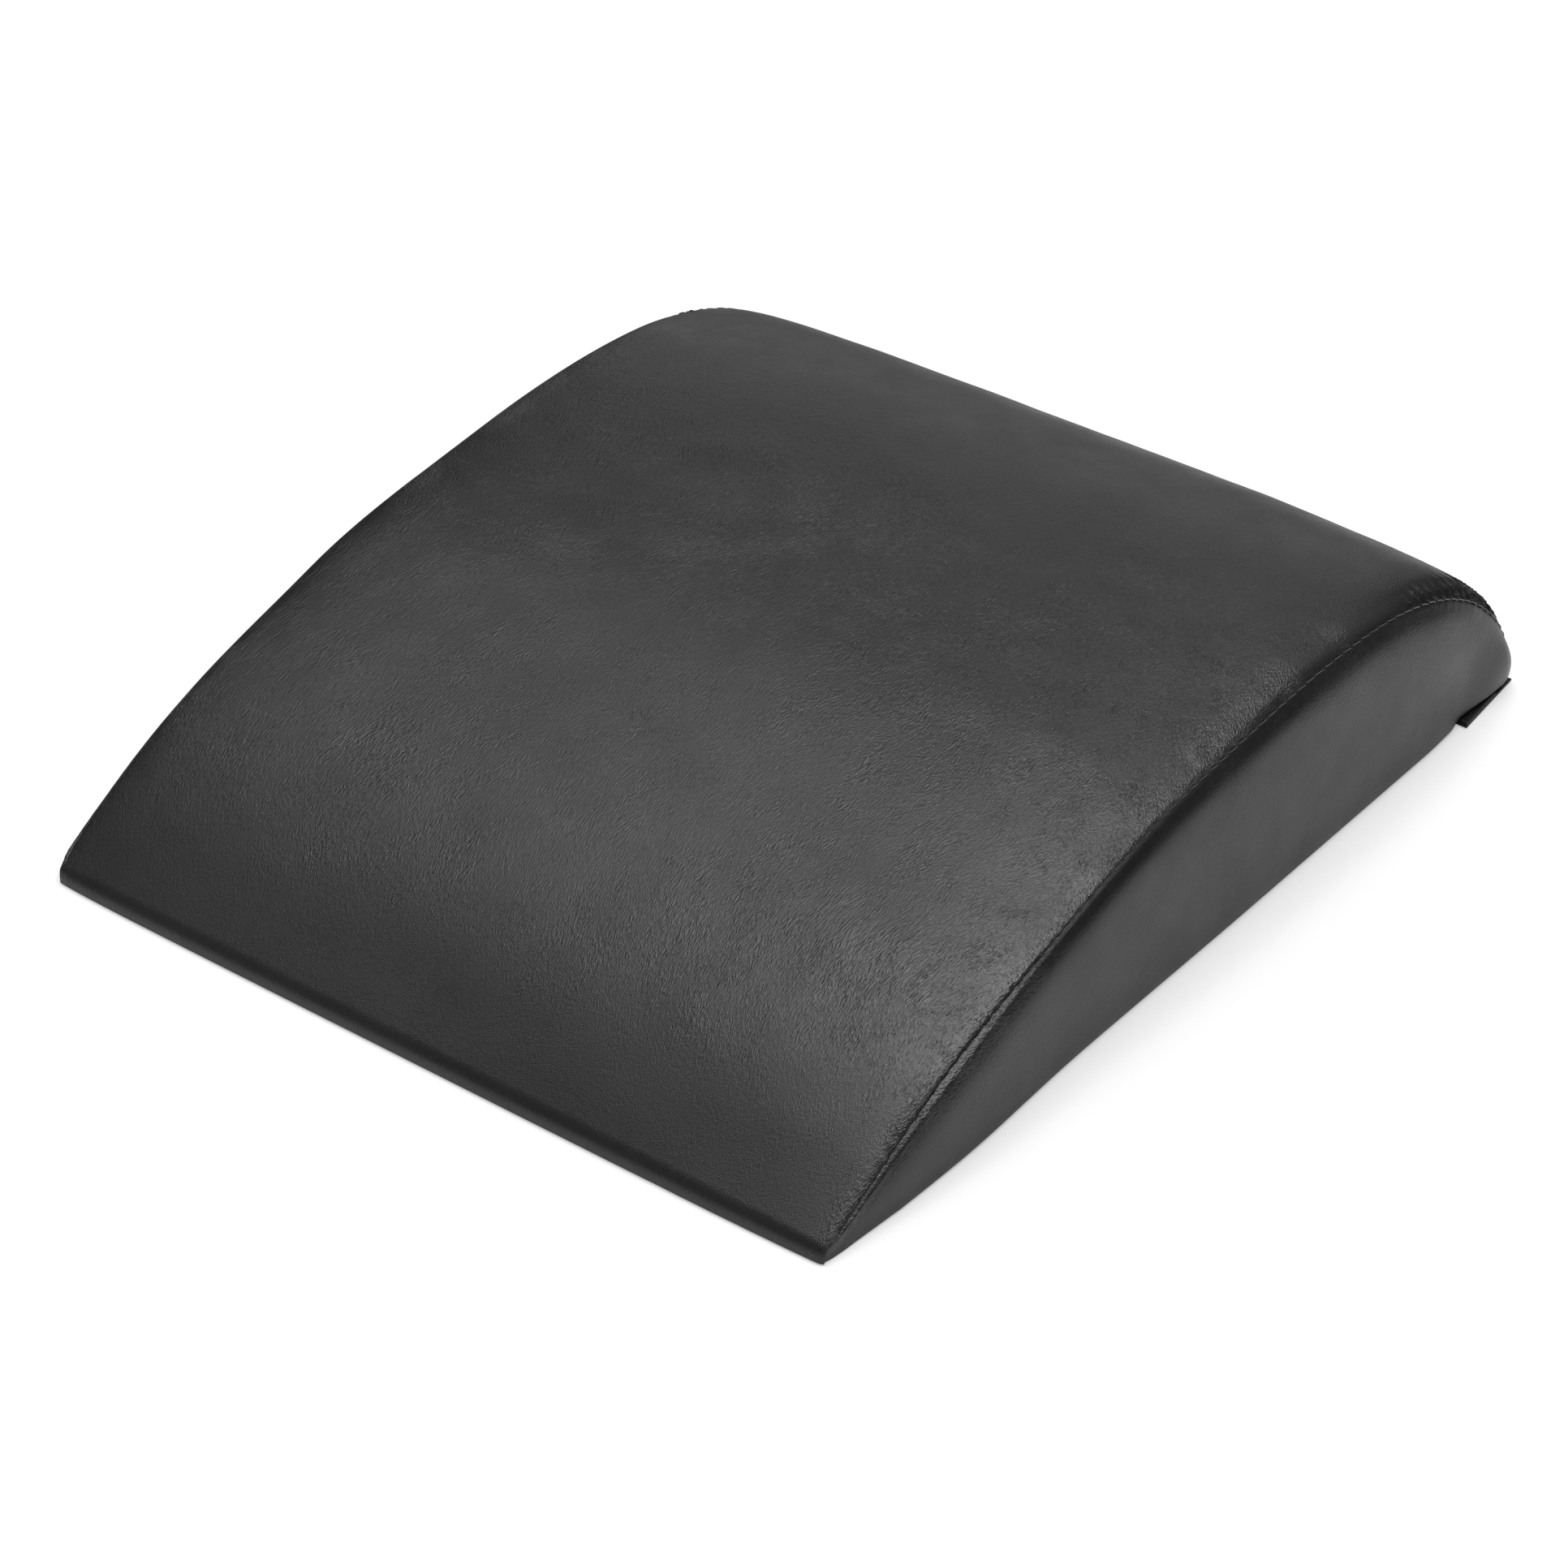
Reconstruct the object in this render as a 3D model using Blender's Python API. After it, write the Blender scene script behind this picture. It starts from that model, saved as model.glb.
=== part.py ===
"""Ab mat: a contoured foam wedge in a sewn vinyl cover that closes underneath with a flap.

Metres, +Z up. X is across the mat, and Y runs from the thin front edge to the thick rear.
The origin is in the middle of the footprint, on the surface that the mat stands on.
The cover is a top panel, two side panels and a base panel. Each side panel meets the top
panel at a drawn-in seam, where its edge is turned in under the top panel.
"""

import math

import bmesh
import bpy
import numpy as np

# Seam line as seen from the side
SEAM_LENGTH = 0.3785
SEAM_HEIGHT = 0.068
SEAM_HALF_WIDTH = 0.1512
NOSE_RADIUS = 0.004
NOSE_RISE = 0.0012
NOSE_STEPS = 4
ARCH_STEPS = 2
SEARCH_STEPS = 40
ARCH_SHARES = (
    (0.035, 0.156),
    (0.10, 0.345),
    (0.20, 0.565),
    (0.30, 0.715),
    (0.42, 0.88),
    (0.55, 0.96),
    (0.685, 1.0),
    (0.80, 0.945),
    (0.88, 0.80),
    (0.945, 0.565),
    (0.985, 0.315),
    (0.998, 0.145),
)

# Sewn cover
COVER = 0.0012
CLEARANCE = 0.0003
SEAM_ALLOWANCE = 0.005
ALLOWANCE_TAPER = 0.012
HEM_LIFT = 0.0003

# Crown of the top panel over the seam line, and its rolled edge
CROWN = 0.0079
CROWN_SHARES = (
    (0.0, 0.05),
    (0.06, 0.38),
    (0.15, 0.68),
    (0.35, 0.95),
    (0.55, 1.0),
    (0.86, 1.0),
    (0.91, 0.72),
    (0.95, 0.38),
    (1.0, 0.06),
)
ROLL_POWER = 4
ROLL_OVERHANG = 0.0008
ROLL_TUCK_SHARE = 0.3
ROLL_SHARES = (0.0, 0.12, 0.3, 0.5, 0.68, 0.82, 0.92, 0.98, 1.0)

# Side panels
SHOULDER_OUT = 0.003
SHOULDER_DROP = 0.006
SHOULDER_RUN = 0.080
BELLY = 0.0015
SIDE_SHARES = (0.0, 0.02, 0.055, 0.1, 0.22, 0.4, 0.6, 0.8, 1.0)

# Closing flap and its hook-and-loop strips, under the rear of the mat
FLAP_DEPTH = 0.0335
FLAP_FLARE = 0.0055
FLAP_END_STEPS = 6
HOOK = 0.001
LOOP = 0.001
STRIP_WIDTH = 0.020
STRIP_HALF_LENGTH = 0.140
STRIP_INSET = 0.003
HEM_RISE = 0.0027
RISE_RUN = 0.007
RISE_STEPS = 2

# Foam core
FOAM_START_HEIGHT = 0.006
FOAM_END_HEIGHT = 0.012
FOAM_WIDTH_SHARES = (1.0, 0.975, 0.93, 0.86, 0.74, 0.54, 0.3, 0.0)

# Base panel
BASE_CORNER = 0.004
CORNER_STEPS = 3
BASE_WIDTH_SHARES = (-1.0, -0.35, 0.35, 1.0)

SHARP_ANGLE = math.radians(50)

# Colours and roughness
VINYL = ((0.022, 0.022, 0.023), 0.42)
BASE_VINYL = ((0.018, 0.018, 0.019), 0.5)
FLAP_VINYL = ((0.012, 0.012, 0.012), 0.55)
FOAM = ((0.62, 0.60, 0.55), 0.95)
HOOK_TAPE = ((0.010, 0.010, 0.010), 0.8)
LOOP_TAPE = ((0.012, 0.012, 0.012), 0.95)

FRONT_Y = -SEAM_LENGTH / 2
REAR_Y = SEAM_LENGTH / 2
HALF_SEAM_GAP = CLEARANCE / 2
CLOSURE_STACK = COVER + HOOK + LOOP + 3 * CLEARANCE
FLAP_HEM = COVER + CLEARANCE
HINGE_Y = REAR_Y - COVER / 2
HINGE_Z = COVER / 2
FLAP_FRONT_Y = HINGE_Y - FLAP_DEPTH
STRIP_FRONT_Y = FLAP_FRONT_Y + STRIP_INSET
STRIP_REAR_Y = STRIP_FRONT_Y + STRIP_WIDTH
RISE_END_Y = FLAP_FRONT_Y - CLEARANCE
RISE_START_Y = RISE_END_Y - RISE_RUN
FOAM_HALF_TOP = SEAM_HALF_WIDTH - SEAM_ALLOWANCE - CLEARANCE


def clear_scene():
    for old in list(bpy.data.objects):
        bpy.data.objects.remove(old)


def material(name, look):
    colour, roughness = look
    made = bpy.data.materials.new(name)
    made.use_nodes = True
    made.diffuse_color = (*colour, 1.0)
    shader = made.node_tree.nodes["Principled BSDF"]
    shader.inputs["Base Color"].default_value = (*colour, 1.0)
    shader.inputs["Roughness"].default_value = roughness
    shader.inputs["Metallic"].default_value = 0.0
    return made


def smooth_step(share):
    held = min(max(share, 0.0), 1.0)
    return held * held * (3.0 - 2.0 * held)


def unit(vector):
    return vector / np.linalg.norm(vector)


def headings(points, first, last):
    """Unit tangents of a smooth curve through points, with the two end ones given."""
    inner = []
    for before, here, after in zip(points[:-2], points[1:-1], points[2:]):
        back, ahead = here - before, after - here
        back_length, ahead_length = np.linalg.norm(back), np.linalg.norm(ahead)
        blend = back * ahead_length / back_length + ahead * back_length / ahead_length
        inner.append(unit(blend))
    return [first, *inner, last]


def curve_point(knots, turns, at):
    """(place, heading) on the smooth curve through the knots, at a knot number and share."""
    index = min(int(at), len(knots) - 2)
    t = at - index
    start, end, leaving, arriving = knots[index], knots[index + 1], turns[index], turns[index + 1]
    chord = np.linalg.norm(end - start)
    place = (
        (2 * t**3 - 3 * t**2 + 1) * start
        + (t**3 - 2 * t**2 + t) * chord * leaving
        + (3 * t**2 - 2 * t**3) * end
        + (t**3 - t**2) * chord * arriving
    )
    slope = (
        (6 * t**2 - 6 * t) * (start - end)
        + (3 * t**2 - 4 * t + 1) * chord * leaving
        + (3 * t**2 - 2 * t) * chord * arriving
    )
    return place, unit(slope)


def arch_steps(knots, turns):
    """Where the arch's stations lie: evenly from knot to knot, and at each end of the rise
    over the flap, where they take the place of any that is near."""
    fine = np.linspace(0.0, len(knots) - 1.0, (len(knots) - 1) * SEARCH_STEPS + 1)
    fine_y = [curve_point(knots, turns, at)[0][0] for at in fine]
    rise = [RISE_START_Y + RISE_RUN * step / RISE_STEPS for step in range(RISE_STEPS + 1)]
    even = np.arange(1, (len(knots) - 1) * ARCH_STEPS + 1) / ARCH_STEPS
    apart = RISE_RUN / RISE_STEPS
    kept = [at for at in even if min(abs(np.interp(at, fine, fine_y) - y) for y in rise) > apart]
    return sorted(kept + [float(np.interp(y, fine_y, fine)) for y in rise])


def nose_turn(centre, knot):
    """The turn at which the round nose runs straight on to the first knot of the arch."""
    away = knot - centre
    slope = math.atan2(away[1], away[0]) - math.asin(NOSE_RADIUS / np.linalg.norm(away))
    return slope + math.pi / 2


def seam_stations():
    """The seam line from the front edge over the crest to the rear edge, as (y, z) places
    and their unit normals, which point out of the mat."""
    arch = [np.array((FRONT_Y + along * SEAM_LENGTH, up * SEAM_HEIGHT)) for along, up in ARCH_SHARES]
    centre = np.array((FRONT_Y + NOSE_RADIUS, NOSE_RISE))
    end_turn = nose_turn(centre, arch[0])
    places = [np.array((FRONT_Y, HEM_LIFT))]
    normals = [np.array((-1.0, 0.0))]
    for step in range(NOSE_STEPS + 1):
        turn = math.pi + (end_turn - math.pi) * step / NOSE_STEPS
        outward = np.array((math.cos(turn), math.sin(turn)))
        places.append(centre + NOSE_RADIUS * outward)
        normals.append(outward)
    knots = [places[-1], *arch, np.array((REAR_Y, FLAP_HEM))]
    leaving = np.array((normals[-1][1], -normals[-1][0]))
    turns = headings(knots, leaving, np.array((0.0, -1.0)))
    for at in arch_steps(knots, turns):
        place, heading = curve_point(knots, turns, at)
        places.append(place)
        normals.append(np.array((-heading[1], heading[0])))
    return np.array(places), np.array(normals)


SEAM, NORMAL = seam_stations()
SEAM_RUN = np.concatenate(([0.0], np.cumsum(np.linalg.norm(np.diff(SEAM, axis=0), axis=1))))


def crown_share(station):
    along, shares = zip(*CROWN_SHARES)
    return float(np.interp(SEAM_RUN[station] / SEAM_RUN[-1], along, shares))


def underside(y):
    """Height of the base panel's lower face: it lifts over the closed flap and its strips."""
    return CLOSURE_STACK * smooth_step((y - RISE_START_Y) / RISE_RUN)


def side_hem(y):
    """Height of the side panels' lower edge, which lifts over the ends of the flap and drops
    close to it behind the strips."""
    rise = HEM_RISE * smooth_step((y - RISE_START_Y) / RISE_RUN)
    fall = smooth_step((y - STRIP_REAR_Y) / (REAR_Y - STRIP_REAR_Y))
    return max(HEM_LIFT, rise - (HEM_RISE - FLAP_HEM) * fall)


def side_reach(y, drop, height):
    """Half the width over the side panels, at a drop below the seam. They swell out from the
    seam over a rounded shoulder, which grows from nothing at the front corners."""
    turn = min(drop / SHOULDER_DROP, 1.0)
    full = smooth_step((y - FRONT_Y) / SHOULDER_RUN)
    shoulder = SHOULDER_OUT * full * math.sqrt(1.0 - (1.0 - turn) ** 2)
    belly = BELLY * height / SEAM_HEIGHT * math.sin(math.pi * min(drop / height, 1.0))
    return SEAM_HALF_WIDTH + shoulder + belly


def allowance(station):
    """Width of the turned-in edge, which runs out towards both ends of the seam."""
    to_end = min(SEAM_RUN[station], SEAM_RUN[-1] - SEAM_RUN[station])
    return COVER + (SEAM_ALLOWANCE - COVER) * smooth_step(to_end / ALLOWANCE_TAPER)


def off_seam(station, x, height):
    """The point at x across the mat and this height above the seam line, along its normal."""
    y, z = SEAM[station] + height * NORMAL[station]
    return x, y, z


def add_object(name, bm, skin, parent=None):
    bmesh.ops.recalc_face_normals(bm, faces=bm.faces)
    mesh = bpy.data.meshes.new(name)
    bm.to_mesh(mesh)
    bm.free()
    mesh.materials.append(skin)
    mesh.shade_smooth()
    mesh.set_sharp_from_angle(angle=SHARP_ANGLE)
    made = bpy.data.objects.new(name, mesh)
    made.parent = parent
    bpy.context.scene.collection.objects.link(made)
    return made


def thick_sheet(outer, inner):
    """A closed shell between two grids of points, with a rim round their shared border."""
    bm = bmesh.new()
    faces = [[[bm.verts.new(point) for point in row] for row in grid] for grid in (outer, inner)]
    rows, columns = len(outer), len(outer[0])
    for skin in faces:
        for i in range(rows - 1):
            for j in range(columns - 1):
                bm.faces.new((skin[i][j], skin[i][j + 1], skin[i + 1][j + 1], skin[i + 1][j]))
    border = (
        [(i, 0) for i in range(rows - 1)]
        + [(rows - 1, j) for j in range(columns - 1)]
        + [(i, columns - 1) for i in range(rows - 1, 0, -1)]
        + [(0, j) for j in range(columns - 1, 0, -1)]
    )
    for (i, j), (m, n) in zip(border, border[1:] + border[:1]):
        bm.faces.new((faces[0][i][j], faces[0][m][n], faces[1][m][n], faces[1][i][j]))
    return bm


def closed_loft(loops):
    """A solid through closed loops of points, capped at its two ends."""
    bm = bmesh.new()
    rings = [[bm.verts.new(point) for point in loop] for loop in loops]
    for ring, following in zip(rings[:-1], rings[1:]):
        for j in range(len(ring)):
            k = (j + 1) % len(ring)
            bm.faces.new((ring[j], ring[k], following[k], following[j]))
    bm.faces.new(rings[0])
    bm.faces.new(rings[-1])
    return bm


def roll_points(station, half_width, height):
    """The top panel's section from one seam to the other: a flat crown that rolls over at
    its edges, bulges past the seam and tucks back in to it."""
    overhang = ROLL_OVERHANG * crown_share(station)
    half = []
    for share in ROLL_SHARES:
        width = (1.0 - share**ROLL_POWER) ** (1.0 / ROLL_POWER)
        tuck = 1.0 - min(share / ROLL_TUCK_SHARE, 1.0)
        x = (half_width + overhang * math.sqrt(1.0 - tuck**2)) * width
        half.append((x, HALF_SEAM_GAP + height * share))
    return half + [(-x, up) for x, up in reversed(half[:-1])]


def top_panel(skin):
    outer, inner = [], []
    for station in range(len(SEAM)):
        height = CROWN * crown_share(station) + COVER + CLEARANCE
        section = roll_points(station, SEAM_HALF_WIDTH, height)
        outer.append([off_seam(station, x, up) for x, up in section])
        section = roll_points(station, SEAM_HALF_WIDTH - COVER, height - COVER)
        inner.append([off_seam(station, x, up) for x, up in section])
    return add_object("top_panel", thick_sheet(outer, inner), skin)


def side_rows(station, depth, thickness):
    """A side panel's section, at a depth below the seam line: its turned-in edge, then its
    face from the seam down to the hem."""
    _, y, z = off_seam(station, 0.0, -depth)
    hem = side_hem(y)
    height = max(SEAM[station][1] - hem, depth + COVER)
    start = depth / height
    rows = [(SEAM_HALF_WIDTH - allowance(station) - CLEARANCE, y, z)]
    for share in SIDE_SHARES:
        drop = height * (start + (1.0 - start) * share)
        x = side_reach(y, drop, height) - thickness
        rows.append((x, y, z + (hem - z) * share))
    return rows


def side_stations():
    """The stations along which the side panels have some height."""
    return [i for i in range(len(SEAM)) if SEAM[i][1] - side_hem(SEAM[i][0]) > 2 * COVER]


def side_panel(name, side, skin):
    outer, inner = [], []
    for station in side_stations():
        for grid, depth, thickness in ((outer, HALF_SEAM_GAP, 0.0), (inner, HALF_SEAM_GAP + COVER, COVER)):
            grid.append([(side * x, y, z) for x, y, z in side_rows(station, depth, thickness)])
    return add_object(name, thick_sheet(outer, inner), skin)


def hem_half_width(y):
    """Half the width between the side panels, where it is least beside the base panel."""
    height = max(float(np.interp(y, SEAM[:, 0], SEAM[:, 1])) - side_hem(y), COVER)
    reach = min(side_reach(y, height, height), side_reach(y, height - COVER, height))
    return reach - COVER - CLEARANCE


def base_rows():
    """(y, half width) of the base panel from front to rear, with its corners rounded."""
    start, end = FRONT_Y + COVER + CLEARANCE, REAR_Y - COVER - CLEARANCE
    turns = [math.pi / 2 * step / CORNER_STEPS for step in range(CORNER_STEPS + 1)]
    corner = [(BASE_CORNER * (1.0 - math.cos(turn)), BASE_CORNER * (1.0 - math.sin(turn))) for turn in turns]
    rows = [(start + back, hem_half_width(start + back) - short) for back, short in corner]
    clear = BASE_CORNER + COVER
    rows += [(y, hem_half_width(y)) for y in SEAM[:, 0] if start + clear < y < end - clear]
    rows += [(end - back, hem_half_width(end - back) - short) for back, short in reversed(corner)]
    return rows


def base_panel(skin):
    lower, upper = [], []
    for y, half in base_rows():
        floor = underside(y)
        lower.append([(half * share, y, floor) for share in BASE_WIDTH_SHARES])
        upper.append([(half * share, y, floor + COVER) for share in BASE_WIDTH_SHARES])
    return add_object("base_panel", thick_sheet(lower, upper), skin)


def foam_section(station):
    """One closed loop round the foam: up one side, in under the turned-in edge, over the
    crown and down the other side to the base panel."""
    below = HALF_SEAM_GAP + COVER + CLEARANCE
    _, y, z = off_seam(station, 0.0, -below)
    floor = underside(y) + COVER + CLEARANCE
    height = SEAM[station][1] - side_hem(y)
    side = []
    for share in reversed(SIDE_SHARES):
        level = z + (floor - z) * share
        x = side_reach(y, SEAM[station][1] - level, height) - COVER - CLEARANCE
        side.append((x, y, level))
    side.append((FOAM_HALF_TOP, y, z))
    crown = CROWN * crown_share(station)
    reach = SEAM_HALF_WIDTH - COVER + ROLL_OVERHANG * crown_share(station)
    over = []
    for share in FOAM_WIDTH_SHARES:
        x = FOAM_HALF_TOP * share
        lift = (1.0 - (x / reach) ** ROLL_POWER) ** (1.0 / ROLL_POWER)
        over.append(off_seam(station, x, (crown + CLEARANCE) * lift - HALF_SEAM_GAP))
    half = side + over
    return half + [(-x, y, z) for x, y, z in reversed(half[:-1])]


def foam_core(skin):
    crest = int(np.argmax(SEAM[:, 1]))
    stations = [
        i
        for i in range(len(SEAM))
        if SEAM[i][1] > (FOAM_START_HEIGHT if i < crest else FOAM_END_HEIGHT)
    ]
    return add_object("foam_core", closed_loft([foam_section(i) for i in stations]), skin)


def flap_half_width(from_hinge):
    """The flap is a little wider at its free edge than at its hinge."""
    return SEAM_HALF_WIDTH + FLAP_FLARE * (1.0 + from_hinge / FLAP_DEPTH) / 2


def rounded_ends(start, end, radius):
    """A flat section from start to end, in (y, z) about the middle of its thickness, with
    both ends rounded."""
    loop = []
    for centre, first in ((end - radius, -math.pi / 2), (start + radius, math.pi / 2)):
        for step in range(FLAP_END_STEPS + 1):
            turn = first + math.pi * step / FLAP_END_STEPS
            loop.append((centre + radius * math.cos(turn), radius * math.sin(turn)))
    return loop


def closing_flap(axis, skin):
    section = rounded_ends(-FLAP_DEPTH, COVER / 2, COVER / 2)
    loops = [[(side * flap_half_width(-y), y, z) for y, z in section] for side in (-1, 1)]
    return add_object("closing_flap", closed_loft(loops), skin, parent=axis)


def strip(name, lower, thickness, skin, axis=None):
    """A hook or loop tape along the flap, with its lower face at this height."""
    offset_y, offset_z = (HINGE_Y, HINGE_Z) if axis else (0.0, 0.0)
    front, rear = STRIP_FRONT_Y - offset_y, STRIP_REAR_Y - offset_y
    low, high = lower - offset_z, lower + thickness - offset_z
    section = ((front, low), (rear, low), (rear, high), (front, high))
    loops = [[(side * STRIP_HALF_LENGTH, y, z) for y, z in section] for side in (-1, 1)]
    return add_object(name, closed_loft(loops), skin, parent=axis)


def build():
    clear_scene()
    hinge = bpy.data.objects.new("flap_hinge_axis", None)
    hinge.location = (0.0, HINGE_Y, HINGE_Z)
    bpy.context.scene.collection.objects.link(hinge)
    foam_core(material("foam", FOAM))
    top_panel(material("top_vinyl", VINYL))
    side_panel("left_side_panel", -1, material("left_side_vinyl", VINYL))
    side_panel("right_side_panel", 1, material("right_side_vinyl", VINYL))
    base_panel(material("base_vinyl", BASE_VINYL))
    closing_flap(hinge, material("flap_vinyl", FLAP_VINYL))
    strip("flap_hook_strip", FLAP_HEM, HOOK, material("hook_tape", HOOK_TAPE), hinge)
    loop_height = FLAP_HEM + HOOK + CLEARANCE
    strip("base_loop_strip", loop_height, LOOP, material("loop_tape", LOOP_TAPE))


build()
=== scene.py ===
import math

import bpy
import numpy as np
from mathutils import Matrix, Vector


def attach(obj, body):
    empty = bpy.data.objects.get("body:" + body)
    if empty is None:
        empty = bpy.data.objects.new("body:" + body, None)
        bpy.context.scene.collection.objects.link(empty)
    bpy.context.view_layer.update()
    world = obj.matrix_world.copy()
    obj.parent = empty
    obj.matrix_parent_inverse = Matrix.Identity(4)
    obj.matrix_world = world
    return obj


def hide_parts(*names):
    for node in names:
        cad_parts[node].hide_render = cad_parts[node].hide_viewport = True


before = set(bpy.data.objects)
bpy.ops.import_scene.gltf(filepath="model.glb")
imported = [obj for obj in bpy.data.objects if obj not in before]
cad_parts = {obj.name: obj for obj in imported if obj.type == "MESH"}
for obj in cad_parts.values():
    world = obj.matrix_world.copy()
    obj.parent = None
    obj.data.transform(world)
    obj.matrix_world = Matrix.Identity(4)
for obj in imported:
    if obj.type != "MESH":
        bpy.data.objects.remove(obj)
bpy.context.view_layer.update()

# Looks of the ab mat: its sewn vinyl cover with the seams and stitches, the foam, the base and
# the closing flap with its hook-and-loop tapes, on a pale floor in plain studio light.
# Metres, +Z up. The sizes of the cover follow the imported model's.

# Sizes shared with the model
SEAM_LENGTH = 0.3785
SEAM_HEIGHT = 0.068
SEAM_HALF_WIDTH = 0.1512
NOSE_RADIUS = 0.004
NOSE_RISE = 0.0012
ARCH_SHARES = (
    (0.035, 0.156), (0.10, 0.345), (0.20, 0.565), (0.30, 0.715), (0.42, 0.88), (0.55, 0.96),
    (0.685, 1.0), (0.80, 0.945), (0.88, 0.80), (0.945, 0.565), (0.985, 0.315), (0.998, 0.145),
)
COVER = 0.0012
CLEARANCE = 0.0003
SEAM_ALLOWANCE = 0.005
ALLOWANCE_TAPER = 0.012
HEM_LIFT = 0.0003
HEM_RISE = 0.0027
CROWN = 0.0079
CROWN_SHARES = (
    (0.0, 0.05), (0.06, 0.38), (0.15, 0.68), (0.35, 0.95), (0.55, 1.0), (0.86, 1.0),
    (0.91, 0.72), (0.95, 0.38), (1.0, 0.06),
)
ROLL_POWER = 4
SHOULDER_RUN = 0.080
BELLY = 0.0010
FLAP_DEPTH = 0.0335
FLAP_FLARE = 0.0055
HOOK = 0.001
LOOP = 0.001
STRIP_WIDTH = 0.020
STRIP_HALF_LENGTH = 0.140
STRIP_INSET = 0.003
RISE_RUN = 0.007

FRONT_Y = -SEAM_LENGTH / 2
REAR_Y = SEAM_LENGTH / 2
HALF_SEAM_GAP = CLEARANCE / 2
CLOSURE_STACK = COVER + HOOK + LOOP + 3 * CLEARANCE
FLAP_HEM = COVER + CLEARANCE
HINGE_Y = REAR_Y - COVER / 2
FLAP_FRONT_Y = HINGE_Y - FLAP_DEPTH
STRIP_FRONT_Y = FLAP_FRONT_Y + STRIP_INSET
STRIP_REAR_Y = STRIP_FRONT_Y + STRIP_WIDTH
RISE_START_Y = FLAP_FRONT_Y - CLEARANCE - RISE_RUN
LOOP_HEIGHT = FLAP_HEM + HOOK + CLEARANCE

# The seam: its stitches, the groove that they draw, the lip beside it in front, and the
# gathers over the rear crest. Places along the seam are distances from the front edge.
STITCH = 0.0054
THREAD = 0.00019
THREAD_DEPTH = 0.00105
THREAD_RISE = 0.00080
GROOVE = 0.00010
FRONT_GROOVE = 0.00040
GROOVE_END = (0.12, 0.24)
GROOVE_WIDTH = 0.00042
LEAST_LIP = 0.00002
LIP_SLOPE = 0.62
LIP_BUMP = 0.00045
CREST = 0.356
CREST_REACH = 0.036
FAINT_PUCKER = 0.00012
CREST_PUCKER = 0.00185

# The cover's outline: the reach of the crown, the fuller roll of its left half, its front
# corners and hems, and the side panels' shoulder, bead in front and lobe at the rear
CROWN_REACH = 0.160
LEFT_OVERHANG = 0.0022
FRONT_CORNER = 0.0025
HEM_ROUND = (0.0008, 0.0025)
SHOULDER_START = 0.022
SHOULDER_LEAN = 0.60
SHOULDER_FADE = 0.0060
SIDE_BEAD = 0.0014
LEAST_BEAD = 0.00001
REAR_LOBE = 0.0020
REAR_LOBE_Y = 0.176

# Fine creases of the sheets, and the steps of their meshes
TOP_CREASE = 0.000030
SIDE_CREASE = 0.000028
SIDE_GATHER = 0.00007
ROW_SPACING = 0.0015
SECTION_STEPS = 900

# The flap's hems, the tapes and their stitches
END_HEM = 0.0085
HEM_END_Y = 0.1755
END_STITCH_Y = 0.176
HOOK_TAPE_BASE = 0.00042
LOOP_DROP = 0.0006
LOOP_COUNT = 3540
STITCH_INSET = 0.0024
FLAT_STITCH = 0.0034
FLAT_THREAD = 0.00017

# The vinyl's relief, in millimetres where it is creased fully, and its spread of roughness
LINE_RELIEF = 0.25
PEBBLE_RELIEF = 0.10
GATHER_RELIEF = 0.24
PORE_RELIEF = 0.070
ROUGHNESS_SPREAD = 0.035
MM = 0.001

# Studio: each lamp's name, azimuth and elevation in degrees, radiance, and size
LAMPS = (
    ("overhead", 0, 85, 4.5, 1.6),
    ("high_left", 180, 66, 2.1, 1.6),
    ("high_back", 90, 66, 1.06, 1.6),
    ("back_right", 60, 30, 0.47, 1.6),
    ("back_left", 120, 48, 0.2, 1.6),
    ("low_back", 120, 12, 0.64, 1.6),
    ("low_front_left", 232, 24, 0.24, 1.9),
    ("seam_right", 0, 60, 3.0, 0.8),
    ("seam_back_right", 41, 58, 1.5, 0.7),
    ("beside_camera", 320, 28, 1.2, 0.9),
)
LAMP_DISTANCE = 2.4
FLOOR_REACH = 6.0
FLOOR_TONE = 0.85
FLOOR_GLOW = 1.40

# Noise: its cells are counted from the first one, and mixed in 32 bits
FIRST_CELL = -4096
LOW_BITS = np.uint64(0xFFFFFFFF)

MIRROR = np.array((-1.0, 1.0, 1.0))


# Numbers


def smooth_step(share):
    held = np.clip(share, 0.0, 1.0)
    return held * held * (3.0 - 2.0 * held)


def levelling(run, sharpness=3.0):
    """A rise of 1 to 1 that levels off smoothly at 1."""
    return run / (1.0 + run**sharpness) ** (1.0 / sharpness)


def between(value, start, end):
    """0 up to start, 1 from end on, and a smooth step between them."""
    return smooth_step((value - start) / (end - start))


def fading(distance, reach, power=2):
    """1 at no distance, and smoothly down to 0 past this reach."""
    return np.exp(-((distance / reach) ** power))


def lengths(path):
    """The distance along a path at each of its points."""
    return np.concatenate(([0.0], np.cumsum(np.linalg.norm(np.diff(path, axis=0), axis=1))))


def traced(at, run, path):
    """The two coordinates of a path at these distances along it."""
    return np.stack([np.interp(at, run, path[:, k]) for k in (0, 1)], axis=-1)


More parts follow.
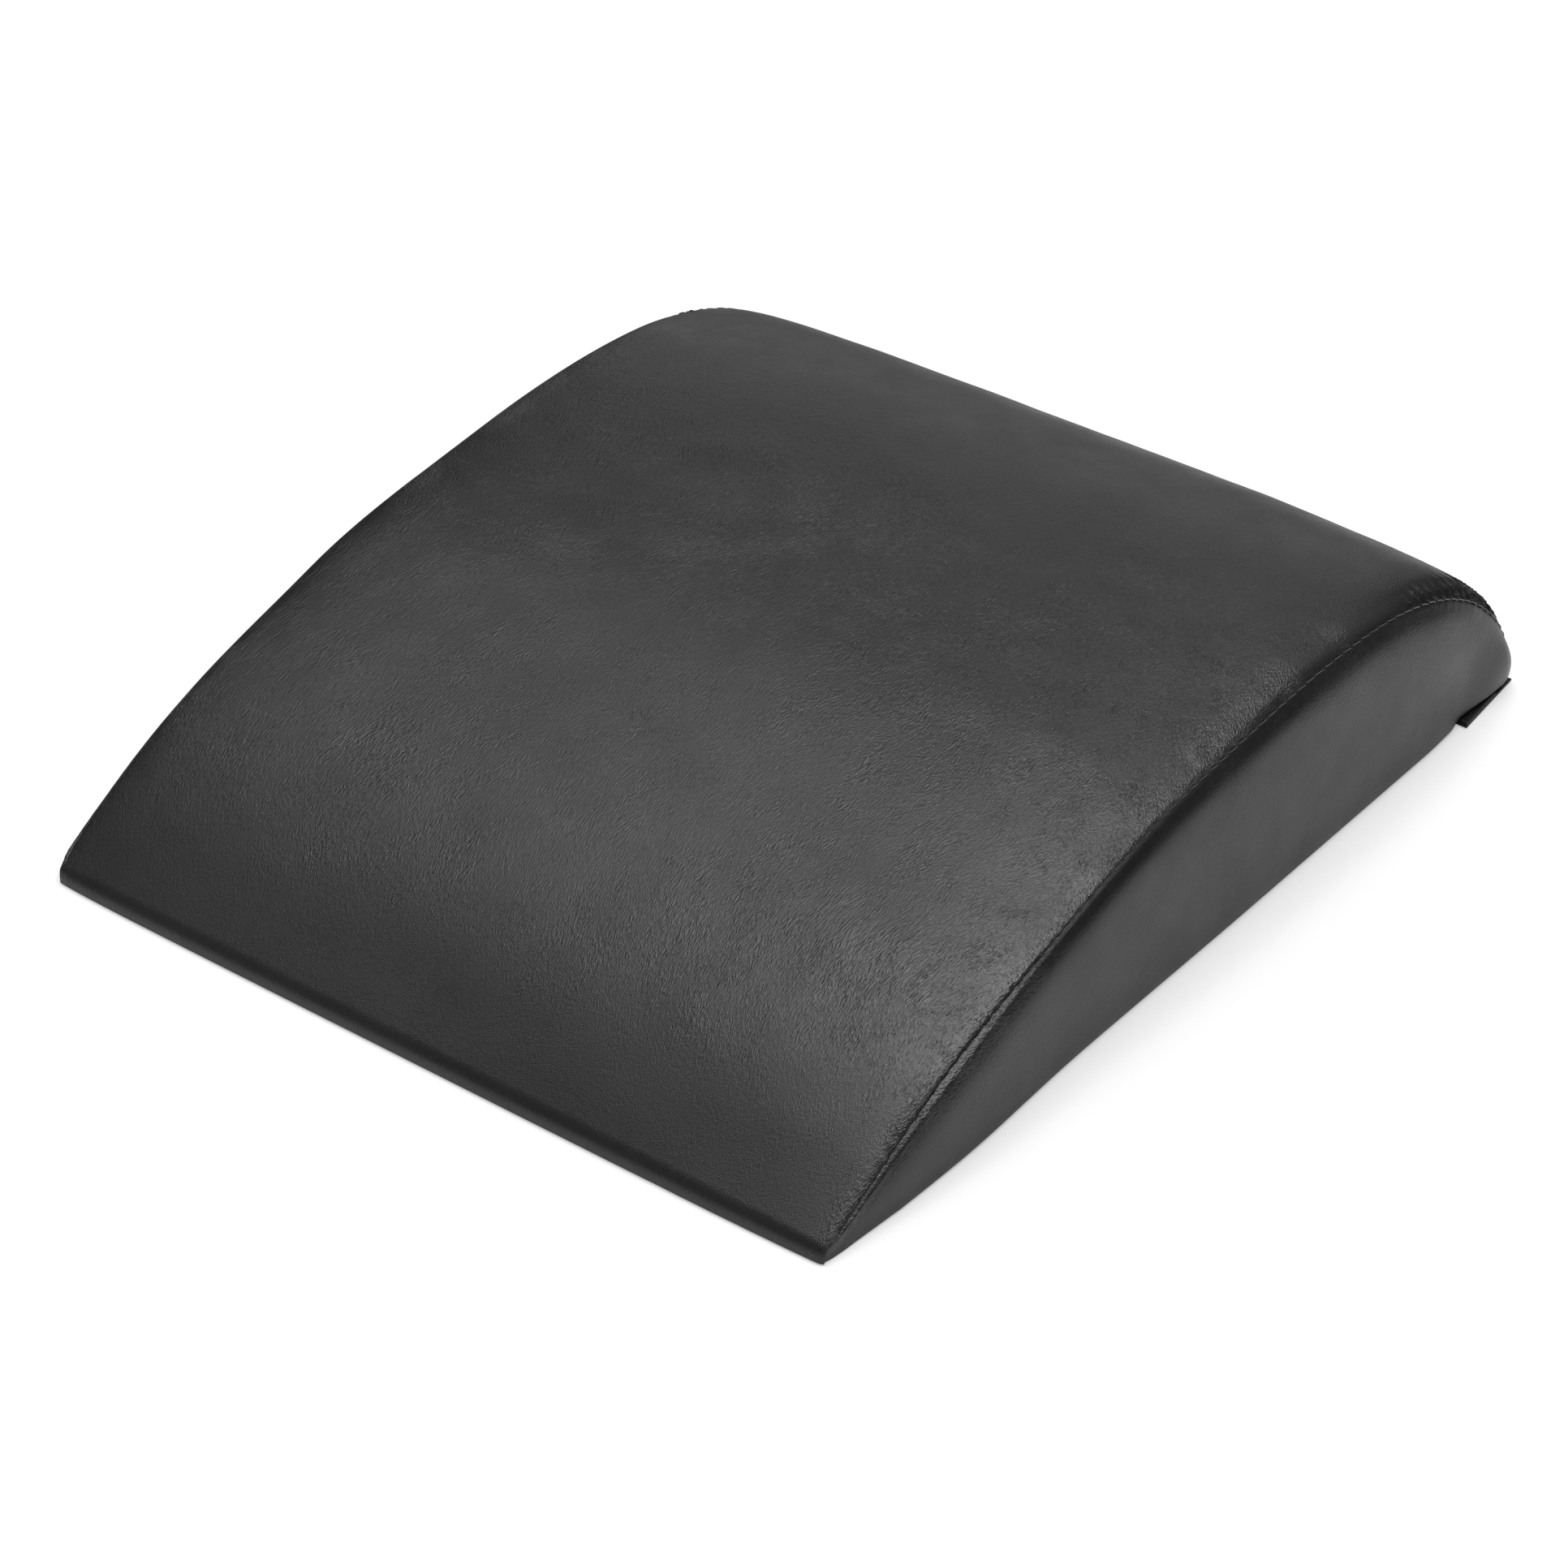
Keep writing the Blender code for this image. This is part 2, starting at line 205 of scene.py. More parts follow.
def hashed(cells, seed):
    """A pseudo-random number from -1 to 1 for each row of whole numbers."""
    total = np.full(cells.shape[:-1], seed * 0x9E3779B1 & 0xFFFFFFFF, np.uint64)
    for axis, prime in enumerate((0x85EBCA6B, 0xC2B2AE35, 0x27D4EB2F)[: cells.shape[-1]]):
        cell = (cells[..., axis] - FIRST_CELL).astype(np.uint64)
        total = (total + cell * np.uint64(prime)) & LOW_BITS
        total = ((total ^ (total >> np.uint64(15))) * np.uint64(0x2C1B3C6D)) & LOW_BITS
        total = ((total ^ (total >> np.uint64(12))) * np.uint64(0x297A2D39)) & LOW_BITS
    total = total ^ (total >> np.uint64(15))
    return total.astype(float) / 0x7FFFFFFF - 1.0


def noise(points, seed):
    """Smooth noise from -1 to 1 at points whose last axis has 1 to 3 coordinates."""
    cell = np.floor(points).astype(np.int64)
    part = points - cell
    part = part * part * part * (part * (part * 6.0 - 15.0) + 10.0)
    total = np.zeros(points.shape[:-1])
    for corner in range(2 ** points.shape[-1]):
        offset = np.array([corner >> axis & 1 for axis in range(points.shape[-1])])
        share = np.prod(np.where(offset, part, 1.0 - part), axis=-1)
        total += share * hashed(cell + offset, seed)
    return total


# The seam line


def headings(points, first, last):
    """Unit directions at the points of a path, between those of the stretches beside them."""
    step = np.diff(points, axis=0)
    length = np.linalg.norm(step, axis=1)[:, None]
    blend = step[:-1] * length[1:] / length[:-1] + step[1:] * length[:-1] / length[1:]
    return [first, *blend / np.linalg.norm(blend, axis=1)[:, None], last]


def smoothed(values, step, width):
    """Values at even steps, averaged over a Gaussian of this width. They are carried on
    beyond both ends, turned about the end points, so that slopes there hold."""
    reach = int(3 * width / step)
    weights = np.exp(-0.5 * (np.arange(-reach, reach + 1) * step / width) ** 2)
    before = 2 * values[0] - values[reach:0:-1]
    after = 2 * values[-1] - values[-2 : -reach - 2 : -1]
    return np.convolve(np.concatenate([before, values, after]), weights / weights.sum(), "valid")


def nose_turn(centre, knot):
    """The turn at which the round nose runs straight on to the first knot of the arch."""
    away = knot - centre
    slope = math.atan2(away[1], away[0]) - math.asin(NOSE_RADIUS / np.hypot(*away))
    return slope + math.pi / 2


def faired(places):
    """The arch with its heading smoothed, more over its long front than at the rear crest."""
    run = lengths(places)
    even = np.linspace(0.0, run[-1], 2001)
    path = traced(even, run, places)
    step = np.diff(path, axis=0)
    heading = np.unwrap(np.arctan2(step[:, 1], step[:, 0]))
    slow, quick = (smoothed(heading, even[1], width) for width in (0.012, 0.004))
    turned = slow + (quick - slow) * between(path[1:, 0], 0.060, 0.110)
    length = np.linalg.norm(step, axis=1)[:, None]
    laid = np.cumsum(length * np.stack([np.cos(turned), np.sin(turned)], axis=1), axis=0)
    laid = path[0] + np.concatenate([np.zeros((1, 2)), laid])
    return laid + (path[-1] - laid[-1]) * (even / even[-1])[:, None]


def seam_line():
    """Dense (y, z) places from the front edge over the crest to the rear, and unit normals."""
    arch = [np.array((FRONT_Y + along * SEAM_LENGTH, up * SEAM_HEIGHT)) for along, up in ARCH_SHARES]
    centre = np.array((FRONT_Y + NOSE_RADIUS, NOSE_RISE))
    turn = math.pi + (nose_turn(centre, arch[0]) - math.pi) * np.linspace(0, 1, 33)
    outward = np.stack([np.cos(turn), np.sin(turn)], axis=1)
    nose = np.concatenate([[(FRONT_Y, HEM_LIFT)], centre + NOSE_RADIUS * outward])
    knots = [nose[-1], *arch, np.array((REAR_Y, FLAP_HEM))]
    leaving = np.array((outward[-1][1], -outward[-1][0]))
    turns = headings(knots, leaving, np.array((0.0, -1.0)))
    t = np.linspace(0, 1, 61)[1:, None]
    places = [nose[-1:]]
    for start, end, away, into in zip(knots[:-1], knots[1:], turns[:-1], turns[1:]):
        chord = np.linalg.norm(end - start)
        place = (2 * t**3 - 3 * t**2 + 1) * start + (t**3 - 2 * t**2 + t) * chord * away
        place += (3 * t**2 - 2 * t**3) * end + (t**3 - t**2) * chord * into
        places.append(place)
    places = np.concatenate([nose[:-1], faired(np.concatenate(places))])
    heading = np.gradient(places, axis=0)
    heading /= np.linalg.norm(heading, axis=1)[:, None]
    return places, np.stack([-heading[:, 1], heading[:, 0]], axis=1)


SEAM, NORMAL = seam_line()
SEAM_RUN = lengths(SEAM)
RUN_LENGTH = SEAM_RUN[-1]
EVEN_RUN = np.linspace(0.0, RUN_LENGTH, 1601)
PLAIN_CROWN = np.interp(EVEN_RUN / RUN_LENGTH, *zip(*CROWN_SHARES))
SLOW_CROWN, QUICK_CROWN = (smoothed(PLAIN_CROWN, EVEN_RUN[1], width) for width in (0.018, 0.006))
EVEN_CROWN = SLOW_CROWN + (QUICK_CROWN - SLOW_CROWN) * between(EVEN_RUN, 0.26, 0.32)


def crown_share(run):
    return np.interp(run, EVEN_RUN, EVEN_CROWN)


def seam_at(run):
    """(y, z) and the unit normal at distances along the seam."""
    normal = traced(run, SEAM_RUN, NORMAL)
    return traced(run, SEAM_RUN, SEAM), normal / np.linalg.norm(normal, axis=-1, keepdims=True)


def underside(y):
    return CLOSURE_STACK * smooth_step((y - RISE_START_Y) / RISE_RUN)


def side_hem(y):
    rise = HEM_RISE * smooth_step((y - RISE_START_Y) / RISE_RUN)
    fall = smooth_step((y - STRIP_REAR_Y) / (REAR_Y - STRIP_REAR_Y))
    return np.maximum(HEM_LIFT, rise - (HEM_RISE - FLAP_HEM) * fall)


def side_reach(y, drop, height):
    """How far out the side panel is at a drop below the seam. In front it first rolls out
    from under the seam, and all along it rounds over into its flat lower part."""
    along = y - FRONT_Y
    full = 0.45 * smooth_step(along / SHOULDER_START) + 0.55 * smooth_step(along / SHOULDER_RUN)
    behind = between(along, 0.12, 0.22)
    begun = 0.5 * smooth_step(along / 0.010) + 0.5 * smooth_step(along / 0.06)
    bead = LEAST_BEAD + SIDE_BEAD * (1.0 - between(along, 0.060, 0.125)) * begun
    rolled = bead * levelling(1.25 * drop / bead)
    lean = (SHOULDER_LEAN + 0.04 * behind) * (1.0 - 0.3 * between(along, 0.322, 0.350)) * full
    fade = np.minimum(SHOULDER_FADE + 0.0007 * behind, 0.3 * height)
    past = drop / fade
    shoulder = lean * fade * 0.9 * np.tanh(past / 0.9) * (1.0 + 0.10 * past * np.exp(-past))
    belly = BELLY * height / SEAM_HEIGHT * np.sin(np.pi * np.minimum(drop / height, 1.0))
    lobe = REAR_LOBE * fading(y - REAR_LOBE_Y, 0.017) * fading(height - drop - 0.007, 0.010)
    low = 1.0 - np.clip((height - drop) / HEM_ROUND[1], 0.0, 1.0)
    tuck = HEM_ROUND[0] * full * (1.0 - np.sqrt(np.maximum(1.0 - low**2, 0.0)))
    return SEAM_HALF_WIDTH + rolled + shoulder + belly + lobe - tuck


def spaced(length, spacing):
    """Places from 0 to length, whose spacing at a place is about what the function says."""
    steps = 4000
    fine = np.linspace(0.0, length, steps + 1)
    share = length / steps / spacing((fine[1:] + fine[:-1]) / 2)
    count = np.concatenate(([0.0], np.cumsum(share)))
    return np.interp(np.linspace(0.0, count[-1], int(round(count[-1])) + 1), count, fine)


def near_crest(run):
    """1 where the seam turns over the rear crest, and 0 away from it."""
    return fading(run - CREST, CREST_REACH, 4)


def front_half(run):
    """1 over the front half of the seam, where both panels bulge beside it, and 0 behind."""
    return 1.0 - between(run, 0.19, 0.29)


def groove(run):
    """How deep the stitches draw both panels in at the seam: deepest over its front half."""
    ends = smooth_step(np.minimum(run, RUN_LENGTH - run) / 0.012)
    deep = (0.00005 + FRONT_GROOVE * (1.0 - between(run, *GROOVE_END))) * between(run, 0.03, 0.08)
    return (GROOVE + deep) * ends


# Meshes


def oriented(points, faces):
    """Four-sided faces turned so that the closed mesh has a positive volume."""
    a, b, c, d = points[faces].transpose(1, 0, 2)
    volume = np.sum(a * (np.cross(b, c) + np.cross(c, d)))
    return faces if volume > 0 else faces[:, ::-1]


def ring_faces(rows, around):
    """The numbers of a tube's points, ring by ring, and the faces between the rings."""
    index = np.arange(rows * around).reshape(rows, around)
    following = np.roll(index, -1, axis=1)
    faces = np.stack([index[:-1], following[:-1], following[1:], index[1:]], axis=-1)
    return index, faces.reshape(-1, 4)


def linked(name, data):
    made = bpy.data.objects.new(name, data)
    bpy.context.scene.collection.objects.link(made)
    return made


def new_object(name, points, faces, material, sharp=None):
    """A smooth mesh, whose edges are sharp where it turns by more than sharp degrees."""
    mesh = bpy.data.meshes.new(name)
    mesh.from_pydata(points.tolist(), [], [list(face) for face in faces])
    mesh.materials.append(material)
    mesh.shade_smooth()
    if sharp:
        mesh.set_sharp_from_angle(angle=math.radians(sharp))
    return linked(name, mesh)


def add_attribute(made, name, values):
    kind, key = ("FLOAT_VECTOR", "vector") if values.ndim == 2 else ("FLOAT", "value")
    layer = made.data.attributes.new(name, kind, "POINT")
    layer.data.foreach_set(key, values.astype(np.float32).ravel())


def shell(name, outer, inner, flat, wrinkle, material):
    """A closed shell between two grids of points. flat is each point's place on the flat
    sheet in millimetres, and wrinkle how creased the vinyl is there."""
    rows, columns = outer.shape[:2]
    second = rows * columns
    index = np.arange(second).reshape(rows, columns)
    grid = np.stack([index[:-1, :-1], index[:-1, 1:], index[1:, 1:], index[1:, :-1]], axis=-1)
    grid = grid.reshape(-1, 4)
    border = np.concatenate([index[:-1, 0], index[-1, :-1], index[:0:-1, -1], index[0, :0:-1]])
    following = np.roll(border, -1)
    rim = np.stack([border, following, following + second, border + second], axis=-1)
    faces = np.concatenate([grid, grid[:, ::-1] + second, rim])
    points = np.concatenate([outer.reshape(-1, 3), inner.reshape(-1, 3)])
    faces = oriented(points, faces)
    made = new_object(name, points, faces, material, sharp=60)
    cloth = np.concatenate([flat, np.zeros_like(flat[..., :1])], axis=-1).reshape(-1, 3)
    add_attribute(made, "cloth", np.concatenate([cloth, cloth]))
    add_attribute(made, "wrinkle", np.concatenate([wrinkle.ravel(), np.zeros(second)]))
    unwrap(made, rows, columns, faces, border)
    return made


def unwrap(made, rows, columns, faces, border):
    """The outer grid fills most of the map, the inner one a strip, and the rim a thin strip."""
    second = rows * columns
    row, column = np.divmod(np.arange(second), columns)
    down = row / (rows - 1)
    place = np.zeros((2 * second, 2))
    place[:, 0] = 0.01 + 0.98 * np.tile(column / (columns - 1), 2)
    place[:, 1] = np.concatenate([0.01 + 0.86 * down, 0.91 + 0.08 * down])
    uv = place[faces]
    along = np.zeros(2 * second)
    along[border] = along[border + second] = np.arange(len(border)) / len(border)
    rim = faces[-len(border):]
    rim_along = along[rim]
    wrapped = (np.ptp(rim_along, axis=1) > 0.5)[:, None] & (rim_along < 0.5)
    uv[-len(border):, :, 0] = 0.01 + 0.97 * (rim_along + wrapped)
    uv[-len(border):, :, 1] = np.where(rim < second, 0.885, 0.895)
    layer = made.data.uv_layers.new(name="OFBake")
    layer.uv.foreach_set("vector", uv.astype(np.float32).ravel())


def grid_normals(points, column, towards):
    """Unit normals of a grid of points, on the side that towards is on halfway down a column."""
    normal = np.cross(np.gradient(points, axis=1), np.gradient(points, axis=0))
    normal /= np.maximum(np.linalg.norm(normal, axis=-1, keepdims=True), 1e-12)
    return normal if normal[len(points) // 2, column] @ np.array(towards) >= 0 else -normal


def tube(path, radius, sides=8):
    """Points and faces of a closed round tube along a path."""
    tangent = np.gradient(path, axis=0)
    tangent /= np.linalg.norm(tangent, axis=1)[:, None]
    side = np.cross(tangent, np.eye(3)[np.argmin(np.abs(tangent).max(axis=0))])
    side /= np.linalg.norm(side, axis=1)[:, None]
    up = np.cross(side, tangent)
    turn = 2 * np.pi * np.arange(sides) / sides
    ring = np.cos(turn)[None, :, None] * side[:, None] + np.sin(turn)[None, :, None] * up[:, None]
    points = (path[:, None] + np.reshape(radius, (-1, 1, 1)) * ring).reshape(-1, 3)
    start, end = len(points), len(points) + 1
    index, faces = ring_faces(len(path), sides)
    faces = faces.tolist()
    for j in range(sides):
        faces += [(start, index[0, j - sides + 1], j), (end, index[-1, j], index[-1, j - sides + 1])]
    return np.concatenate([points, path[:1], path[-1:]]), faces


def joined(parts):
    """One (points, faces) from several."""
    points, faces, count = [], [], 0
    for some_points, some_faces in parts:
        points.append(some_points)
        faces += [tuple(corner + count for corner in face) for face in some_faces]
        count += len(some_points)
    return np.concatenate(points), faces


# Materials


class Graph:
    """A material's node tree, with short ways to add nodes to it."""

    def __init__(self, name, specular=0.5):
        self.material = bpy.data.materials.new(name)
        self.material.use_nodes = True
        self.tree = self.material.node_tree
        self.shader = self.tree.nodes["Principled BSDF"]
        self.shader.inputs["Specular IOR Level"].default_value = specular

    def add(self, kind, inputs=(), **settings):
        node = self.tree.nodes.new(kind)
        for key, value in settings.items():
            setattr(node, key, value)
        for key, value in dict(inputs).items():
            self.plug(value, node.inputs[key])
        return node

    def plug(self, value, socket):
        if isinstance(value, bpy.types.NodeSocket):
            self.tree.links.new(value, socket)
        else:
            socket.default_value = value

    def math(self, operation, first, second, third=0.0):
        inputs = {0: first, 1: second, 2: third}
        return self.add("ShaderNodeMath", inputs, operation=operation).outputs[0]

    def vector(self, operation, first, second, key=1):
        inputs = {0: first, key: second}
        return self.add("ShaderNodeVectorMath", inputs, operation=operation).outputs[0]

    def noise(self, place, scale, detail=2.0, roughness=0.5, output="Fac"):
        inputs = {"Vector": place, "Scale": scale, "Detail": detail, "Roughness": roughness}
        return self.add("ShaderNodeTexNoise", inputs).outputs[output]

    def stretched(self, place, across, along):
        """Noise with this many features to a millimetre across and along the sheet."""
        return self.noise(self.vector("MULTIPLY", place, (across, along, 1.0)), 1.0, 1.0)

    def wave(self, place, scale, distortion, way):
        inputs = {"Vector": place, "Scale": scale, "Distortion": distortion}
        return self.add("ShaderNodeTexWave", inputs, bands_direction=way).outputs["Fac"]

    def ramp(self, value, low, high, start=0.0, end=1.0, kind="SMOOTHSTEP"):
        inputs = {"Value": value, "From Min": low, "From Max": high, "To Min": start, "To Max": end}
        return self.add("ShaderNodeMapRange", inputs, interpolation_type=kind).outputs["Result"]

    def mix(self, share, first, second):
        inputs = {"Factor": share, "A": first, "B": second}
        return self.add("ShaderNodeMix", inputs, data_type="RGBA").outputs["Result"]

    def place(self):
        return self.add("ShaderNodeTexCoord").outputs["Object"]

    def attribute(self, name, output):
        return self.add("ShaderNodeAttribute", attribute_name=name).outputs[output]

    def warped(self, place, scale, reach, detail=2.0):
        """place moved about by noise of this scale, by up to about reach."""
        shift = self.vector("SUBTRACT", self.noise(place, scale, detail, output="Color"), (0.5, 0.5, 0.5))
        return self.vector("ADD", place, self.vector("SCALE", shift, 2 * reach, "Scale"))

    def bump(self, height, distance):
        inputs = {"Height": height, "Distance": distance, "Strength": 1.0}
        return self.add("ShaderNodeBump", inputs).outputs["Normal"]

    def use(self, **sockets):
        for name, value in sockets.items():
            self.plug(value, self.shader.inputs[name.replace("_", " ")])
        return self.material


def vinyl(name, dark, light, roughness, grain=1.0):
    """Grained vinyl: fine lines about a millimetre apart that run along the mat and swirl,
    stronger in long streaks, over a finer pebble, and lines aslant where the sheet is gathered.
    Raised grain shines more. Its coordinates are millimetres on the sheet."""
    g = Graph(name)
    cloth = g.attribute("cloth", "Vector")
    wrinkle = g.attribute("wrinkle", "Fac")
    swirl = g.warped(g.warped(cloth, 0.009, 16.0, 0.0), 0.035, 4.0, 1.0)
    place = g.warped(swirl, 0.30, 0.5, 1.0)
    lines = g.math("SUBTRACT", g.stretched(place, 2.1, 0.62), 0.5)
    streaks = g.ramp(g.stretched(swirl, 0.15, 0.042), 0.40, 0.64, 0.6, 1.15)
    pebbles = g.stretched(place, 2.4, 1.8)
    creases = g.math("MULTIPLY", g.math("MULTIPLY", lines, streaks), LINE_RELIEF * grain)
    relief = g.math("ADD", creases, g.math("MULTIPLY", pebbles, PEBBLE_RELIEF * grain))
    turn = {"Vector": place, "Angle": math.radians(-45.0)}
    aslant = g.add("ShaderNodeVectorRotate", turn, rotation_type="Z_AXIS").outputs[0]
    pulled = g.ramp(wrinkle, 1.0, 2.0, 0.0, GATHER_RELIEF * grain)
    relief = g.math("MULTIPLY_ADD", g.stretched(aslant, 1.7, 0.5), pulled, relief)
    pores = g.math("MULTIPLY", g.noise(cloth, 2.4, 1.0, 0.6), PORE_RELIEF * grain)
    height = g.math("MULTIPLY_ADD", relief, wrinkle, pores)
    share = g.ramp(g.noise(cloth, 0.011, 3.0), 0.3, 0.7)
    # painted shade: the colour darkens where the pebbles are low, in the grain's hollows; the broad random
    # tone above is the vinyl's own
    share = g.math("MULTIPLY", share, g.ramp(pebbles, 0.0, 1.0, 0.7, 1.0, "LINEAR"))
    colour = g.mix(share, (*dark, 1.0), (*light, 1.0))
    worn = g.noise(cloth, 0.05, 3.0, 0.6)
    rough = g.ramp(worn, 0.3, 0.7, roughness - ROUGHNESS_SPREAD, roughness + ROUGHNESS_SPREAD)
    rough = g.math("ADD", rough, g.ramp(pebbles, 0.0, 1.0, 0.06, 0.0, "LINEAR"))
    raised = g.math("MULTIPLY", g.math("SUBTRACT", relief, 0.05), wrinkle)
    shine = g.ramp(raised, -0.08, 0.08, 0.28, 0.72, "LINEAR")
    return g.use(Base_Color=colour, Roughness=rough, Specular_IOR_Level=shine, Normal=g.bump(height, MM))


def thread_material():
    """Twisted dark thread, painted paler over the rear crest as a highlight where the light catches it."""
    g = Graph("bonded_thread")
    place = g.place()
    strands = g.wave(place, 900.0, 1.5, "DIAGONAL")
    dark = g.mix(strands, (0.03, 0.03, 0.032, 1.0), (0.10, 0.10, 0.105, 1.0))
    # painted highlight: a paler tone for the thread where it runs over the rear crest
    pale = g.mix(strands, (0.13, 0.13, 0.135, 1.0), (0.26, 0.26, 0.27, 1.0))
    # from y 0.10 to 0.135 on, the painted highlight tone takes over
    behind = g.ramp(g.add("ShaderNodeSeparateXYZ", {"Vector": place}).outputs["Y"], 0.10, 0.135)
    colour = g.mix(behind, dark, pale)
    return g.use(Base_Color=colour, Roughness=0.42, Normal=g.bump(strands, 0.00008))


def foam_material():
    g = Graph("foam")
    place = g.place()
    cells = g.add("ShaderNodeTexVoronoi", {"Vector": place, "Scale": 1400.0}).outputs["Distance"]
    tone = g.noise(place, 40.0, 3.0)
    colour = g.mix(tone, (0.62, 0.59, 0.50, 1.0), (0.70, 0.67, 0.60, 1.0))
    return g.use(Base_Color=colour, Roughness=0.95, Normal=g.bump(cells, 0.0005))


def tape_material(name, tone, ribs):
    """Woven tape: fine ribs across it, with lint-like variation."""
    g = Graph(name, 0.25)
    place = g.place()
    weave = g.math("MULTIPLY", g.wave(place, ribs, 0.6, "X"), g.wave(place, 0.7 * ribs, 0.6, "Y"))
    lint = g.noise(place, 700.0, 3.0, 0.7)
    dark = (tone * 0.6, tone * 0.6, tone * 0.62, 1.0)
    colour = g.mix(lint, dark, (tone * 1.7, tone * 1.7, tone * 1.75, 1.0))
    return g.use(Base_Color=colour, Roughness=0.85, Normal=g.bump(weave, 0.0003))


# Cover panels


def puckers(run, away, seed):
    """Height of the gathers beside the stitches: short thin ridges that start at the holes and
    lean forward, deep where the seam turns over the rear crest, and faint elsewhere."""
    crest = near_crest(run)
    wavy = noise(np.stack([run / 0.006, away / 0.003], axis=-1), seed)
    phase = (run + crest * (0.0058 * np.tanh(away / 0.0085) + 0.0006 * wavy)) / STITCH
    cells = np.stack([np.floor(phase), np.zeros_like(phase)], axis=-1).astype(np.int64)
    uneven = hashed(cells, seed)
    ridge = fading(np.sin(np.pi * phase), 0.32) - 0.25
    height = FAINT_PUCKER + CREST_PUCKER * crest * (1.0 + 0.35 * uneven)
    reach = 0.0013 + 0.0042 * crest * (1.0 + 0.40 * uneven)
    return ridge * height * smooth_step(away / 0.0005) * fading(np.maximum(away, 0.0), reach, 1.5)


def rolls(place, seed):
    """Slow unevenness of padding under a tight sheet. place is in millimetres."""
    return 0.00030 * noise(place / 62.0, seed) + 0.00010 * noise(place / 23.0, seed + 1)


def creasing(place, seed):
    """Shallow waves about a centimetre apart that run along the sheet."""
    shift = [noise(place / 45.0, seed + 2 + k) for k in range(place.shape[-1])]
    bent = place + 5.0 * np.stack(shift, axis=-1)
    broad = noise(bent / np.array((8.0, 26.0)), seed + 5)
    return broad + 0.5 * noise(bent / np.array((6.0, 15.0)), seed + 6)


def patches(flat, size, seed):
    """0 to 1: where a sheet is more creased, in patches of about this size."""
    return smooth_step(0.5 + 1.4 * noise(flat / size, seed))


def right_section(height, run):
    """The right half of a section of the top, from the seam to the middle: a roll beside the
    seam, and in front a lip behind it, carry over into a broad low crown."""
    inward = SEAM_HALF_WIDTH * np.linspace(0.0, 1.0, SECTION_STEPS) ** 2.4
    broad = (1.0 - ((SEAM_HALF_WIDTH - inward) / CROWN_REACH) ** ROLL_POWER) ** (1.0 / ROLL_POWER)
    broad = (broad - broad[0]) / (1.0 - broad[0])
    roll = min(roll_height(run), 0.5 * height)
    lip = min(lip_height(run), 0.32 * height)
    slope = 2.2 - 0.9 * between(run, 0.16, 0.26)
    up = roll * levelling(slope * inward / roll, 3.0 - between(run, 0.24, 0.30))
    up = up + lip * levelling(LIP_SLOPE * inward / lip) + (height - roll - lip) * broad
    return np.stack([SEAM_HALF_WIDTH - inward, HALF_SEAM_GAP + up], axis=1)


def left_section(height, run):
    """The left half, which is fuller: it rolls over the seam in one flat curve, as in the model."""
    turn = 0.5 * np.pi * np.linspace(0.0, 1.0, SECTION_STEPS) ** 3
    share = np.sin(turn) ** (2.0 / ROLL_POWER)
    rolled_over = between(run, 0.0, 0.012) * (1.0 - between(run, 0.14, 0.20))
    overhang = 0.0008 * crown_share(run) + LEFT_OVERHANG * rolled_over
    reach = SEAM_HALF_WIDTH + overhang * np.minimum(share / 0.3, 1.0)
    across = reach * np.maximum(np.cos(turn), 0.0) ** (2.0 / ROLL_POWER)
    across[-1] = 0.0
    return np.stack([across, HALF_SEAM_GAP + height * share], axis=1)


def roll_height(run):
    """The roll beside the seam is tight in front, and grows up to the rear crest."""
    growing = 0.0005 * between(run, 0.06, 0.14) + 0.0009 * between(run, 0.12, 0.24)
    return 0.0003 + growing + 0.0014 * between(run, 0.19, 0.27) + 0.0026 * between(run, 0.28, 0.335)


def lip_height(run):
    """The lip beside the front of the seam, which levels off behind."""
    front = 0.0006 * (1.0 - between(run, 0.035, 0.07))
    return LEAST_LIP + front + 0.0009 * (1.0 - between(run, 0.08, 0.13))


def laid_out(section, reference):
    """Points along a section whose distances from the seam are close to the reference's."""
    length = lengths(section)
    at = reference * length[-1] / reference[-1]
    return np.concatenate([traced(at, length, section), at[:, None]], axis=1)


